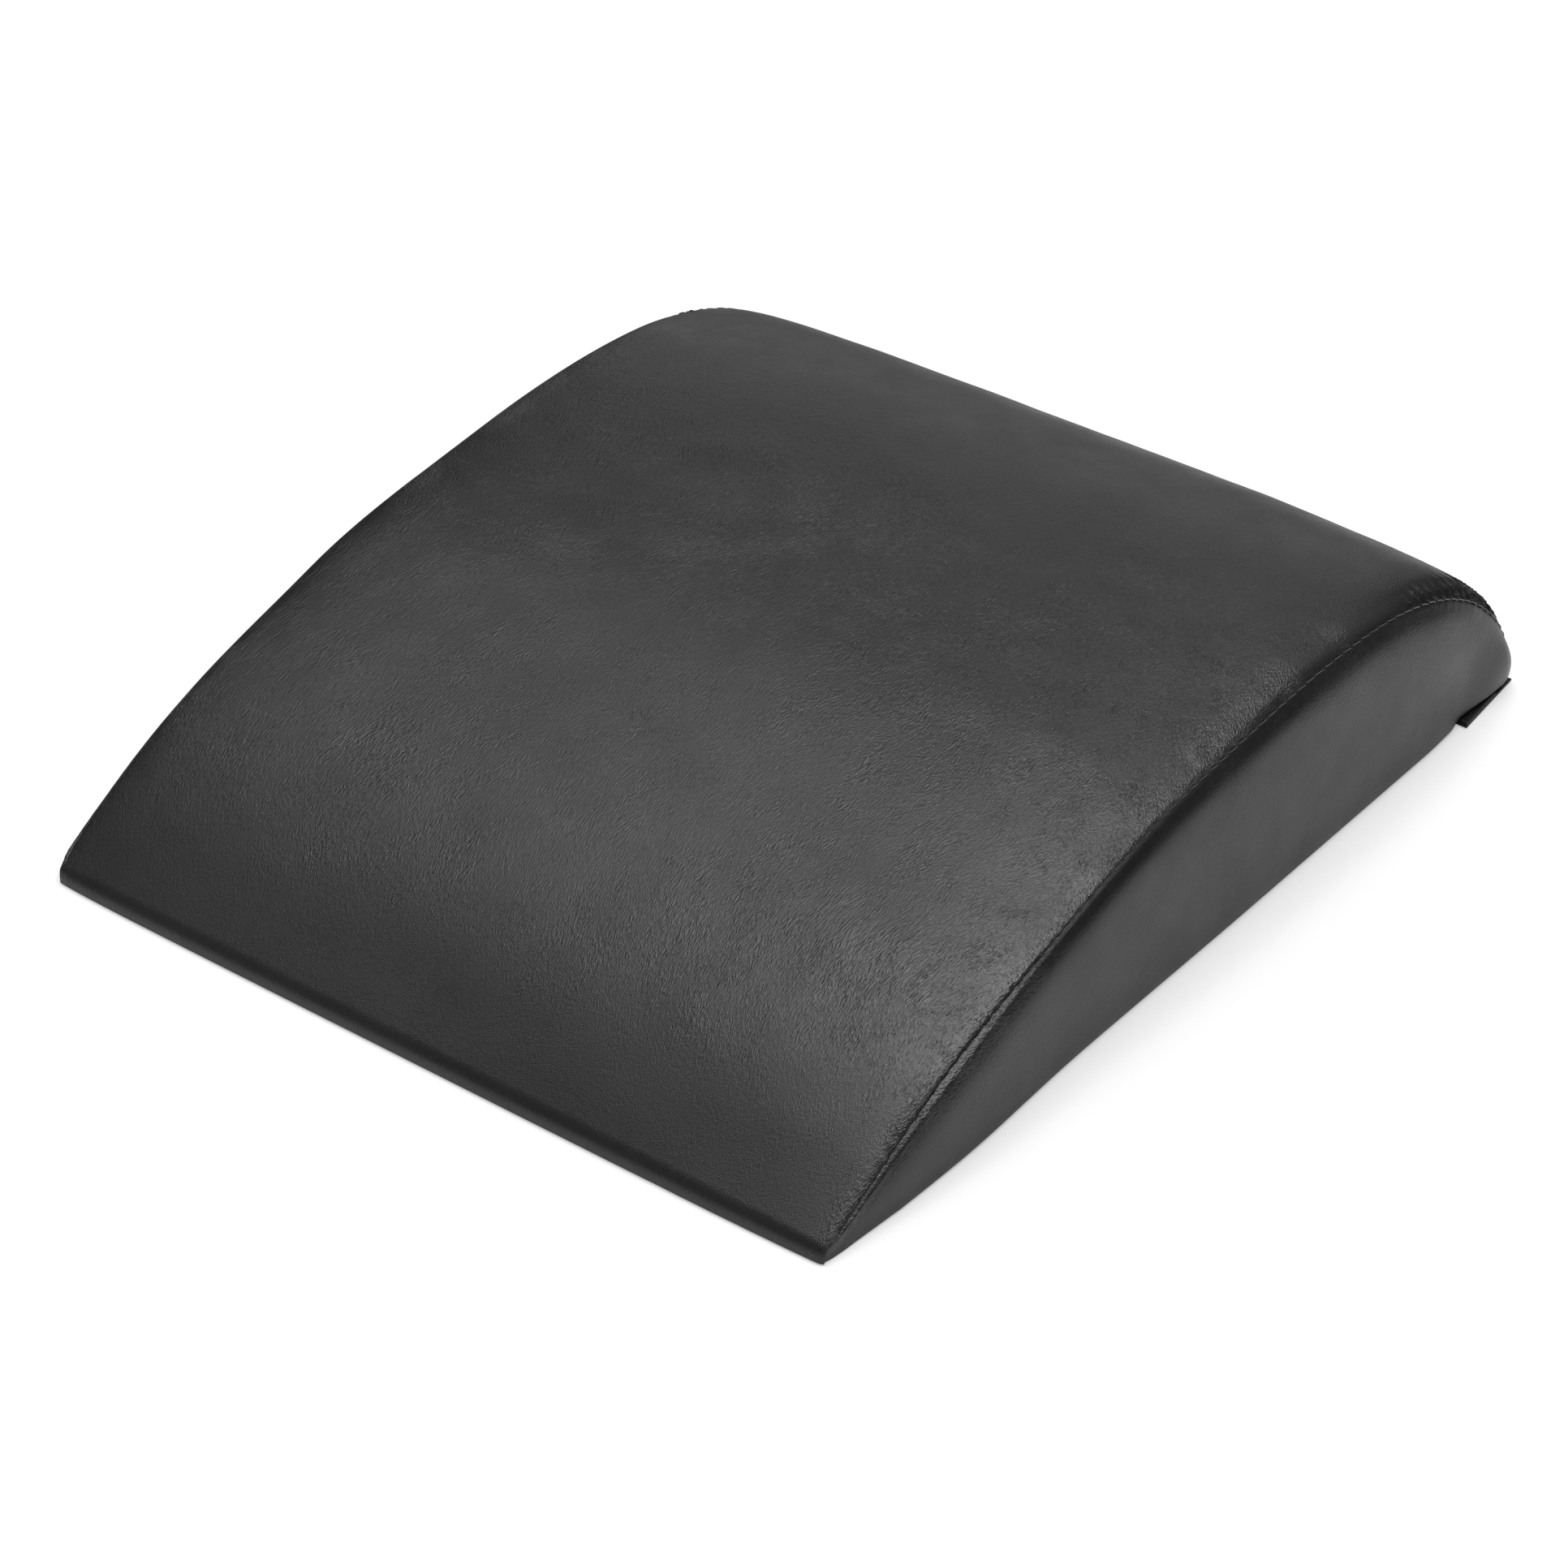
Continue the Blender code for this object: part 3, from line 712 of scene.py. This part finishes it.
def top_cover(material):
    def spacing(at):
        return ROW_SPACING - 0.00112 * near_crest(at) - 0.0009 * fading(at, 0.008)

    run = spaced(RUN_LENGTH, spacing)
    place, normal = seam_at(run)
    height = CROWN * crown_share(run) + COVER + CLEARANCE
    drawn = groove(run)
    reference = spaced(SEAM_HALF_WIDTH + 0.003, lambda at: 0.00042 + 0.0042 * between(at, 0.004, 0.034))
    halves = []
    for shape in (right_section, left_section):
        half = []
        for i in range(len(run)):
            section = laid_out(shape(height[i], run[i]), reference)
            section[:, 0] -= drawn[i] * fading(section[:, 2], GROOVE_WIDTH)
            half.append(section)
        halves.append(np.array(half))
    right, left = halves
    section = np.concatenate([right, left[:, -2::-1] * MIRROR], axis=1)
    x, up, away = section[..., 0], section[..., 1], section[..., 2]
    length = np.where(x >= 0.0, right[:, -1:, 2], left[:, -1:, 2])
    base = np.concatenate([x[..., None], place[:, None] + up[..., None] * normal[:, None]], axis=-1)
    side = np.sign(x)
    base[..., 0] -= side * corner_short(base[..., 1]) * fading(away, 0.009, 4)
    outward = grid_normals(base, base.shape[1] // 2, (0, 0, 1))
    runs = np.broadcast_to(run[:, None], x.shape)
    flat = np.stack([side * (length - away), runs], axis=-1) / MM
    lift = rolls(flat + 500.0, 11) * smooth_step(away / 0.004) * smooth_step(runs / 0.02)
    patch = patches(flat + 2800.0, 70.0, 23)
    lift += TOP_CREASE * creasing(flat, 31) * (0.25 + patch) * smooth_step(away / 0.002)
    lift += puckers(runs, away, 3) * np.where(side >= 0, 1.0, 0.9)
    lift += lip_bumps(runs, away)
    outer, inner = base + outward * lift[..., None], base - outward * COVER
    for grid in (outer, inner):
        grid[..., 2] = np.maximum(grid[..., 2], HEM_LIFT)
    return shell("top_cover", outer, inner, flat, top_grain(runs, away, flat, side), material)


def corner_short(y):
    """How much the rounding of the front corners takes off half the width at y."""
    inset = np.clip(y - FRONT_Y + 0.002, 0.0, FRONT_CORNER)
    return FRONT_CORNER - np.sqrt(FRONT_CORNER**2 - (FRONT_CORNER - inset) ** 2)


def lip_bumps(run, away):
    """The lip beside the front half of the seam swells between the stitches."""
    phase = np.abs(np.sin(np.pi * run / STITCH)) ** 1.5 - 0.45
    beside = smooth_step(away / 0.0003) * fading(away, 0.0017)
    uneven = 1.0 + 0.6 * noise(run[..., None] / 0.007, 19)
    ends = (1.0 - between(run, *GROOVE_END)) * smooth_step(run / 0.01)
    return LIP_BUMP * phase * beside * uneven * ends


def top_grain(run, away, flat, side):
    """How creased the top is: most over its long front and beside the seam there, in patches,
    and less at the front edge and behind the crest. Halfway along the seam it is gathered."""
    patchy = 0.75 + 0.30 * noise(flat / 42.0 + 70.0, 61) + 0.2 * noise(flat / 15.0, 63)
    lengthwise = between(run, 0.012, 0.082) * (1.0 - 0.65 * between(run, 0.225, 0.315))
    grain = 0.30 + 0.9 * np.clip(patchy, 0.2, 1.2) * lengthwise
    uneven = np.clip(0.8 + 0.8 * noise(np.stack([run / 0.011, side * 3.0], axis=-1), 67), 0.3, 1.4)
    beside = fading(away, 0.0035 + 0.0030 * uneven)
    halfway = between(run, 0.16, 0.20) * (1.0 - between(run, 0.275, 0.31))
    pulled = fading(away - 0.005, 0.008) * halfway * uneven
    return grain * (1.0 - 0.4 * beside) + 0.9 * beside * front_half(run) + pulled


def side_cover(name, side, material, seed):
    tall = SEAM[:, 1] - side_hem(SEAM[:, 0]) > 2 * COVER
    first, last = SEAM_RUN[tall][[0, -1]]

    def spacing(at):
        return ROW_SPACING - 0.0008 * near_crest(at + first) - 0.0008 * fading(at, 0.008)

    run = first + spaced(last - first, spacing)
    place, normal = seam_at(run)
    even = np.linspace(0.0, 1.0, 56)
    share = 0.5 * even**2 + 0.5 * even**1.3
    turned_in = np.zeros((len(run), 3))
    tip = 1.0 - smooth_step((run - first) / 0.0045)
    to_end = np.minimum(SEAM_RUN[-1] - run, run)
    allowance = COVER + (SEAM_ALLOWANCE - COVER) * smooth_step(to_end / ALLOWANCE_TAPER)
    grids = []
    for depth, thickness in ((HALF_SEAM_GAP, 0.0), (HALF_SEAM_GAP + COVER, COVER)):
        y, z = (place - depth * normal).T
        hem = side_hem(y)
        height = np.maximum(place[:, 1] - hem, depth + COVER)
        start = (depth / height)[:, None]
        drop = height[:, None] * (start + (1.0 - start) * share)
        below = drop - depth
        x = side_reach(y[:, None], drop, height[:, None]) - thickness
        x = x - groove(run)[:, None] * fading(below, GROOVE_WIDTH) - 0.0007 * tip[:, None]
        y = y - 0.0011 * tip
        level = z[:, None] + (hem - z)[:, None] * share
        edge = (SEAM_HALF_WIDTH - allowance - CLEARANCE)[:, None]
        edge = edge + (x[:, :1] - edge) * np.array((0.0, 0.5, 0.8))
        xs = np.concatenate([edge, x], axis=1)
        levels = np.concatenate([turned_in + z[:, None], level], axis=1)
        grids.append(np.stack([side * xs, np.broadcast_to(y[:, None], xs.shape), levels], axis=-1))
        if not thickness:
            away = np.concatenate([turned_in, below], axis=1)
    base, inner = grids
    outward = grid_normals(base, -4, (side, 0, 0))
    steps = np.linalg.norm(np.diff(base[:, 2:], axis=1), axis=-1)
    down = np.concatenate([turned_in, np.cumsum(steps, axis=1)], axis=1)
    longer = down - (base[:, 2:3, 2] - base[..., 2]) * (down > 0.0)
    flat = np.stack([base[..., 2] - longer, base[..., 1]], axis=-1) / MM + 400.0
    runs = np.broadcast_to(run[:, None], down.shape)
    free = smooth_step(away / 0.003) * smooth_step((base[..., 2] - side_hem(base[..., 1])) / 0.006)
    front = (1.0 - between(runs, 0.17, 0.29)) * smooth_step(runs / 0.02)
    lift = rolls(flat + 900.0 + seed, 41 + seed) * free
    gathers = noise(np.stack([down / 0.0030, runs / 0.0013], axis=-1), 57)
    lift += front * SIDE_GATHER * fading(away, 0.0030, 4) * gathers
    patch = patches(flat + 600.0, 60.0, 47 + seed)
    lift += SIDE_CREASE * creasing(flat, 51 + seed) * (0.2 + patch) * free
    visible = np.concatenate([np.zeros(3), np.ones(len(share))])
    lift += 0.05 * puckers(runs + STITCH / 2, away * 1.6, 5 + seed) * visible
    patchy = np.clip(0.35 + 0.5 * noise(flat / 24.0 + 30.0, 81 + seed), 0.05, 1.0)
    gathered = fading(away, 0.0050, 4) * (1.0 - between(runs, 0.10, 0.15))
    under_crest = fading(away - 0.010, 0.006) * (1.0 - front_half(runs))
    wrinkle = 0.30 + 0.50 * patchy + 0.9 * gathered + 0.3 * under_crest
    return shell(name, base + outward * lift[..., None], inner, flat, wrinkle, material)


# Base, flap and tapes


def fine_ends(start, end, least, more, reach):
    """Places from start to end, closest at both ends."""
    length = end - start
    return start + spaced(length, lambda at: least + more * smooth_step(np.minimum(at, length - at) / reach))


def hem_half_width(y):
    height = np.maximum(np.interp(y, SEAM[:, 0], SEAM[:, 1]) - side_hem(y), COVER)
    reach = np.minimum(side_reach(y, height, height), side_reach(y, height - COVER, height))
    return reach - COVER - CLEARANCE


def base_cover(material):
    start, end = FRONT_Y + COVER + CLEARANCE, REAR_Y - COVER - CLEARANCE
    corner = 0.004
    y = fine_ends(start, end, 0.0006, 0.0028, 0.02)
    inset = np.minimum(np.minimum(y - start, end - y), corner)
    short = corner - np.sqrt(np.maximum(corner**2 - (corner - inset) ** 2, 0.0))
    half = hem_half_width(y) - short
    x = half[:, None] * np.linspace(-1.0, 1.0, 121)
    y, z = (np.broadcast_to(values[:, None], x.shape) for values in (y, underside(y)))
    lower = np.stack([x, y, z], axis=-1)
    upper = lower + np.array((0.0, 0.0, COVER))
    flat = np.stack([x / MM, y / MM + 700.0], axis=-1)
    return shell("base_cover", lower, upper, flat, np.zeros_like(x), material)


def flap_cover(material):
    """The closing flap: its free edge is folded, and its two ends are hemmed over."""
    front, rear = FLAP_FRONT_Y, HINGE_Y + COVER / 2
    y = fine_ends(front, rear, 0.00012, 0.0009, 0.002)
    end = 1.0 - spaced(0.13, lambda at: 0.0006 + 0.006 * smooth_step((at - 0.06) / 0.05))
    share = np.concatenate([np.linspace(0.0, 0.87, 60)[:-1], end[::-1]])
    share = np.concatenate([-share[:0:-1], share])
    half = SEAM_HALF_WIDTH + FLAP_FLARE * (1.0 + (HINGE_Y - y) / FLAP_DEPTH) / 2
    x = half[:, None] * share
    across = half[:, None] - np.abs(x)
    y = np.broadcast_to(y[:, None], x.shape)
    inward = np.minimum(across, np.minimum(y - front, rear - y)) / (COVER / 2)
    keep = np.sqrt(np.maximum(1.0 - (1.0 - np.clip(inward, 0.0, 1.0)) ** 2, 0.004))
    hem = 1.0 - between(across, END_HEM, END_HEM + 0.0009)
    hem = hem * (1.0 - between(y, HEM_END_Y, HEM_END_Y + 0.003)) * smooth_step((y - front) / 0.0008)
    ripple = 0.00006 * noise(np.stack([x, y], axis=-1) / 0.012, 71)
    top = COVER / 2 + (COVER / 2 + 0.0009 * hem + ripple) * keep
    bottom = COVER / 2 * (1.0 - keep)
    lower, upper = (np.stack([x, y, z], axis=-1) for z in (bottom, top))
    flat = np.stack([x / MM, y / MM + 300.0], axis=-1)
    return shell("flap_cover", lower, upper, flat, 0.3 * hem, material)


def many(points, faces, places, turns, scales):
    """Copies of one small mesh, each turned about Z, scaled and moved to its place."""
    turned = (points[:, 0] + 1j * points[:, 1]) * np.exp(1j * turns)[:, None]
    z = np.broadcast_to(points[:, 2], turned.shape)
    moved = np.stack([turned.real, turned.imag, z], axis=-1) * scales[:, None, None] + places[:, None]
    count = len(points)
    copied = [tuple(corner + count * k for corner in face) for k in range(len(places)) for face in faces]
    return moved.reshape(-1, 3), copied


def tape_body(low, high, corner=0.0012):
    """The points and faces of a tape, with rounded corners, between two heights."""
    quarter = np.repeat(np.arange(4), 6)
    turn = (quarter + np.tile(np.linspace(0.0, 1.0, 6), 4)) * np.pi / 2
    x = np.array((1, -1, -1, 1))[quarter] * (STRIP_HALF_LENGTH - corner) + corner * np.cos(turn)
    y = np.where(quarter < 2, STRIP_REAR_Y - corner, STRIP_FRONT_Y + corner) + corner * np.sin(turn)
    points = np.concatenate([np.column_stack([x, y, np.full(len(x), z)]) for z in (low, high)])
    index, faces = ring_faces(2, len(x))
    return points, [*faces.tolist(), index[0, ::-1].tolist(), index[1].tolist()]


def hook_tape(material):
    """Bent nylon hooks in staggered rows, turned one way or the other, clear of the stitches."""
    base, tip = FLAP_HEM + HOOK_TAPE_BASE, FLAP_HEM + HOOK + 0.00008
    thick, bend, neck = 0.00009, 0.00021, 0.00022
    turn = np.linspace(0.0, 1.15 * np.pi, 7)
    stem = np.array([(0.0, 0.0, -0.00004), (0.0, 0.0, 0.00018)])
    curl = np.stack([0 * turn, bend * (1 - np.cos(turn)), neck + bend * np.sin(turn)], axis=1)
    hook = tube(np.concatenate([stem, curl]), thick, 5)
    scale = (tip - base) / (neck + bend + thick)
    columns = np.arange(0.0025 - STRIP_HALF_LENGTH, STRIP_HALF_LENGTH - 0.0024, 0.0018)
    places = []
    for k, y in enumerate(np.arange(STRIP_FRONT_Y + 0.0014, STRIP_REAR_Y - 0.0012, 0.0016)):
        inset = min(y - STRIP_FRONT_Y, STRIP_REAR_Y - y)
        if abs(inset - STITCH_INSET) > 0.0007:
            places += [(x + 0.0009 * (k % 2), y, base) for x in columns]
    places = np.array(places)
    way = np.where(hashed(np.arange(len(places))[:, None], 5) > 0, 0.0, np.pi)
    hooks = many(*hook, places, way, np.full(len(places), scale))
    return new_object("hook_tape", *joined([tape_body(FLAP_HEM, base), hooks]), material, sharp=50)


def loop_tape(material):
    """Fine loops of yarn, thrown down at random, that hang from the tape."""
    low = LOOP_HEIGHT - 0.00005
    base = LOOP_HEIGHT + LOOP_DROP
    turn = np.linspace(0.0, np.pi, 7)
    hanging = 0.00004 - 0.00058 * np.sin(turn)
    arch = np.stack([0.00045 * np.cos(turn), 0.00012 * np.sin(2 * turn), hanging], axis=1)
    loop = tube(arch, 0.000045, 4)
    cells = np.arange(LOOP_COUNT)[:, None]
    x = (STRIP_HALF_LENGTH - 0.002) * hashed(cells, 21)
    y = (STRIP_FRONT_Y + STRIP_REAR_Y) / 2 + (STRIP_WIDTH / 2 - 0.0012) * hashed(cells, 22)
    places = np.stack([x, y, np.full(LOOP_COUNT, base)], axis=1)
    loops = many(*loop, places, np.pi * hashed(cells, 23), 0.88 + 0.12 * hashed(cells, 24))
    points, faces = joined([tape_body(base, LOOP_HEIGHT + LOOP), loops])
    points[:, 2] = np.maximum(points[:, 2], low)
    return new_object("loop_tape", points, faces, material, sharp=50)


def tape_rows(z):
    """The rows of stitches near the long edges of both tapes, at this height."""
    end = STRIP_HALF_LENGTH - 0.0015
    return [((-end, y, z), (end, y, z)) for y in (STRIP_FRONT_Y + STITCH_INSET, STRIP_REAR_Y - STITCH_INSET)]


def flat_stitches(name, rows, out, material):
    """Rows of lockstitch on a flat face. rows are (start, end) in (x, y, z), and out is how
    far, and to which side in Z, the thread stands off the face."""
    parts = []
    t = np.linspace(0.0, 1.0, 6)
    for start, end in rows:
        start, end = np.array(start), np.array(end)
        length = np.linalg.norm(end - start)
        for k in range(int(length / FLAT_STITCH)):
            path = start + (k + 0.08 + 0.84 * t)[:, None] * FLAT_STITCH * (end - start) / length
            path[:, 2] += out * (np.sin(np.pi * t) ** 0.5 - 0.35)
            parts.append(tube(path, FLAT_THREAD, 5))
    return new_object(name, *joined(parts), material)


# Foam


def foam_block(material):
    below = HALF_SEAM_GAP + COVER + CLEARANCE
    run = spaced(RUN_LENGTH, lambda at: np.full_like(at, 0.004))
    place, normal = seam_at(run)
    crest = np.argmax(place[:, 1])
    tall = place[:, 1] > np.where(np.arange(len(run)) < crest, 0.006, 0.012)
    run, place, normal = run[tall], place[tall], normal[tall]
    half_top = SEAM_HALF_WIDTH - SEAM_ALLOWANCE - CLEARANCE
    over = half_top * np.cos(np.linspace(0.0, np.pi / 2, 26))
    loops = []
    for i in range(len(run)):
        y, z = place[i] - below * normal[i]
        floor = underside(y) + COVER + CLEARANCE
        height = place[i, 1] - side_hem(y)
        level = z + (floor - z) * np.linspace(1.0, 0.0, 14)
        x = side_reach(y, place[i, 1] - level, height) - COVER - 2 * CLEARANCE
        side = np.stack([x, np.full_like(x, y), level], axis=1)
        rebate = np.array([(half_top, y, z)])
        halves = []
        for shape in (right_section, left_section):
            section = shape(CROWN * crown_share(run[i]) + COVER + CLEARANCE, run[i])
            up = np.interp(over, section[::-1, 0], section[::-1, 1]) - COVER - CLEARANCE
            top = np.column_stack([over, place[i] + up[:, None] * normal[i]])
            halves.append(np.concatenate([side, rebate, top]))
        loops.append(np.concatenate([halves[0], halves[1][-2::-1] * MIRROR]))
    points = np.concatenate(loops)
    index, faces = ring_faces(len(loops), len(loops[0]))
    kept = oriented(points, faces)
    front, rear = index[0].tolist(), index[-1].tolist()
    caps = [front[::-1], rear] if kept[0, 0] == faces[0, 0] else [front, rear[::-1]]
    return new_object("foam_block", points, [*kept.tolist(), *caps], material, sharp=40)


# Stitches


def seam_thread(name, side, material):
    """Each stitch is a short length of thread, a little aslant, that dives into a hole at both
    ends. In front it lies deep in the groove, and over the crest it stands on the seam."""
    parts = []
    t = np.linspace(0.0, 1.0, 13)
    arch = np.sin(np.pi * np.clip(t, 0.02, 0.98)) ** 0.35
    for k in range(1, int((RUN_LENGTH - 0.012) / STITCH)):
        uneven = hashed(np.array([[k, 7]]), 91 + side)[0]
        run = (k + 0.03 + 0.94 * t) * STITCH
        place, normal = seam_at(run)
        proud = 0.4 * between(run, 0.09, 0.13) + 0.6 * between(run, 0.15, 0.27)
        out = SEAM_HALF_WIDTH - groove(run) - THREAD_DEPTH + THREAD_RISE * (arch + proud)
        slant = (0.00018 + 0.00008 * uneven) * (0.5 - t) * 2 + 0.00036 * (np.sin(np.pi * t) - 0.5)
        path = np.column_stack([side * out, place + slant[:, None] * normal])
        parts.append(tube(path, THREAD * (0.7 + 0.3 * arch)))
    return new_object(name, *joined(parts), material)


def main():
    top_vinyl = vinyl("top_vinyl", (0.0095, 0.0095, 0.010), (0.0145, 0.0145, 0.015), 0.34)
    side_vinyl = vinyl("side_vinyl", (0.0095, 0.0095, 0.010), (0.0145, 0.0145, 0.015), 0.34, 0.8)
    base_vinyl = vinyl("base_vinyl", (0.013, 0.013, 0.014), (0.020, 0.020, 0.021), 0.5, 0.8)
    flap_vinyl = vinyl("flap_vinyl", (0.004, 0.004, 0.004), (0.007, 0.007, 0.007), 0.5, 0.6)
    thread = thread_material()
    foam = foam_material()
    hook_skin = tape_material("hook_tape", 0.012, 500.0)
    loop_skin = tape_material("loop_tape", 0.014, 700.0)

    top = top_cover(top_vinyl)
    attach(top, "mat")
    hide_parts("top_panel")

    for side, word, node in ((-1, "left", "left_side_panel"), (1, "right", "right_side_panel")):
        made = side_cover(f"{word}_side_cover", side, side_vinyl, 0 if side > 0 else 200)
        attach(made, "mat")
        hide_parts(node)
        stitches = seam_thread(f"{word}_seam_thread", side, thread)
        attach(stitches, "mat")

    block = foam_block(foam)
    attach(block, "mat")
    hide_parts("foam_core")

    base = base_cover(base_vinyl)
    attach(base, "mat")
    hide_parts("base_panel")

    flap = flap_cover(flap_vinyl)
    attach(flap, "flap")
    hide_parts("closing_flap")

    hooks = hook_tape(hook_skin)
    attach(hooks, "flap")
    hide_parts("flap_hook_strip")

    loops = loop_tape(loop_skin)
    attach(loops, "mat")
    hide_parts("base_loop_strip")

    made = flat_stitches("hook_tape_stitches", tape_rows(FLAP_HEM + HOOK_TAPE_BASE), 0.00022, thread)
    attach(made, "flap")
    rows = tape_rows(0.0)
    for side in (-1, 1):
        x = side * (SEAM_HALF_WIDTH - 0.0035)
        rows.append(((x + side * 0.0008, FLAP_FRONT_Y + 0.0015, 0.0), (x, END_STITCH_Y, 0.0)))
    made = flat_stitches("flap_stitches", rows, -0.00012, thread)
    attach(made, "flap")
    made = flat_stitches("loop_tape_stitches", tape_rows(LOOP_HEIGHT + LOOP_DROP), -0.00022, thread)
    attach(made, "mat")


# Studio


def direction(azimuth, elevation):
    """The unit vector to an azimuth (0 is +X, 90 is +Y) and elevation in degrees."""
    a, e = math.radians(azimuth), math.radians(elevation)
    return Vector((math.cos(a) * math.cos(e), math.sin(a) * math.cos(e), math.sin(e)))


def aimed(name, data, place, away):
    """A lamp or camera at a place, that looks back along the direction away."""
    made = linked(name, data)
    made.location = place
    made.rotation_mode = "QUATERNION"
    made.rotation_quaternion = (-away).to_track_quat("-Z", "Y")
    return made


def camera():
    data = bpy.data.cameras.new("camera")
    data.sensor_width = 36.0
    data.lens = 105.99
    data.clip_start, data.clip_end = 0.05, 100.0
    place = (0.74727652, -0.98446939, 0.85764119)
    bpy.context.scene.camera = aimed("camera", data, place, direction(-52.474, 34.849))


def area_lamp(name, azimuth, elevation, radiance, size):
    """A square lamp that faces the mat."""
    data = bpy.data.lights.new(name, "AREA")
    data.shape = "SQUARE"
    data.size = size
    data.energy = radiance * math.pi * size * size
    away = direction(azimuth, elevation)
    aimed(name, data, away * LAMP_DISTANCE, away)


def floor_material():
    """A pale disc that lights the mat from below. To the camera the floor is pale all over and
    glows a little, more with the distance from the mat, where the lamps no longer light it."""
    g = Graph("floor")
    g.tree.nodes.remove(g.shader)
    seen = g.add("ShaderNodeLightPath").outputs["Is Camera Ray"]
    distance = g.add("ShaderNodeVectorMath", {0: g.place()}, operation="LENGTH").outputs["Value"]
    pool = g.ramp(distance, 0.28, 0.55, FLOOR_TONE, 0.0)
    pool = g.math("MAXIMUM", pool, g.math("MULTIPLY", seen, FLOOR_TONE))
    paint = g.add("ShaderNodeBsdfDiffuse", {"Color": pool})
    white = g.add("ShaderNodeEmission", {"Color": (1.0, 1.0, 1.0, 1.0), "Strength": FLOOR_GLOW})
    share = g.math("MULTIPLY", seen, g.ramp(distance, 0.45, 1.0, 0.3, 1.0))
    mixed = g.add("ShaderNodeMixShader", {0: share, 1: paint.outputs[0], 2: white.outputs[0]})
    g.plug(mixed.outputs[0], g.tree.nodes["Material Output"].inputs["Surface"])
    return g.material


def studio():
    """White seen by the camera, a pale floor that keeps the mat's shadow, and the lamps."""
    world = bpy.data.worlds.new("studio")
    bpy.context.scene.world = world
    world.use_nodes = True
    tree = world.node_tree
    sky = tree.nodes["Background"]
    sky.inputs["Color"].default_value = (1.0, 1.0, 1.0, 1.0)
    seen = tree.nodes.new("ShaderNodeLightPath").outputs["Is Camera Ray"]
    tree.links.new(seen, sky.inputs["Strength"])

    mesh = bpy.data.meshes.new("floor")
    corners = [(-1, -1), (1, -1), (1, 1), (-1, 1)]
    mesh.from_pydata([(FLOOR_REACH * x, FLOOR_REACH * y, 0.0) for x, y in corners], [], [(0, 1, 2, 3)])
    floor = linked("floor", mesh)
    floor.location.z = -0.0002
    mesh.materials.append(floor_material())

    for lamp in LAMPS:
        area_lamp(*lamp)


bpy.context.scene.view_settings.view_transform = "Standard"
camera()
studio()
main()
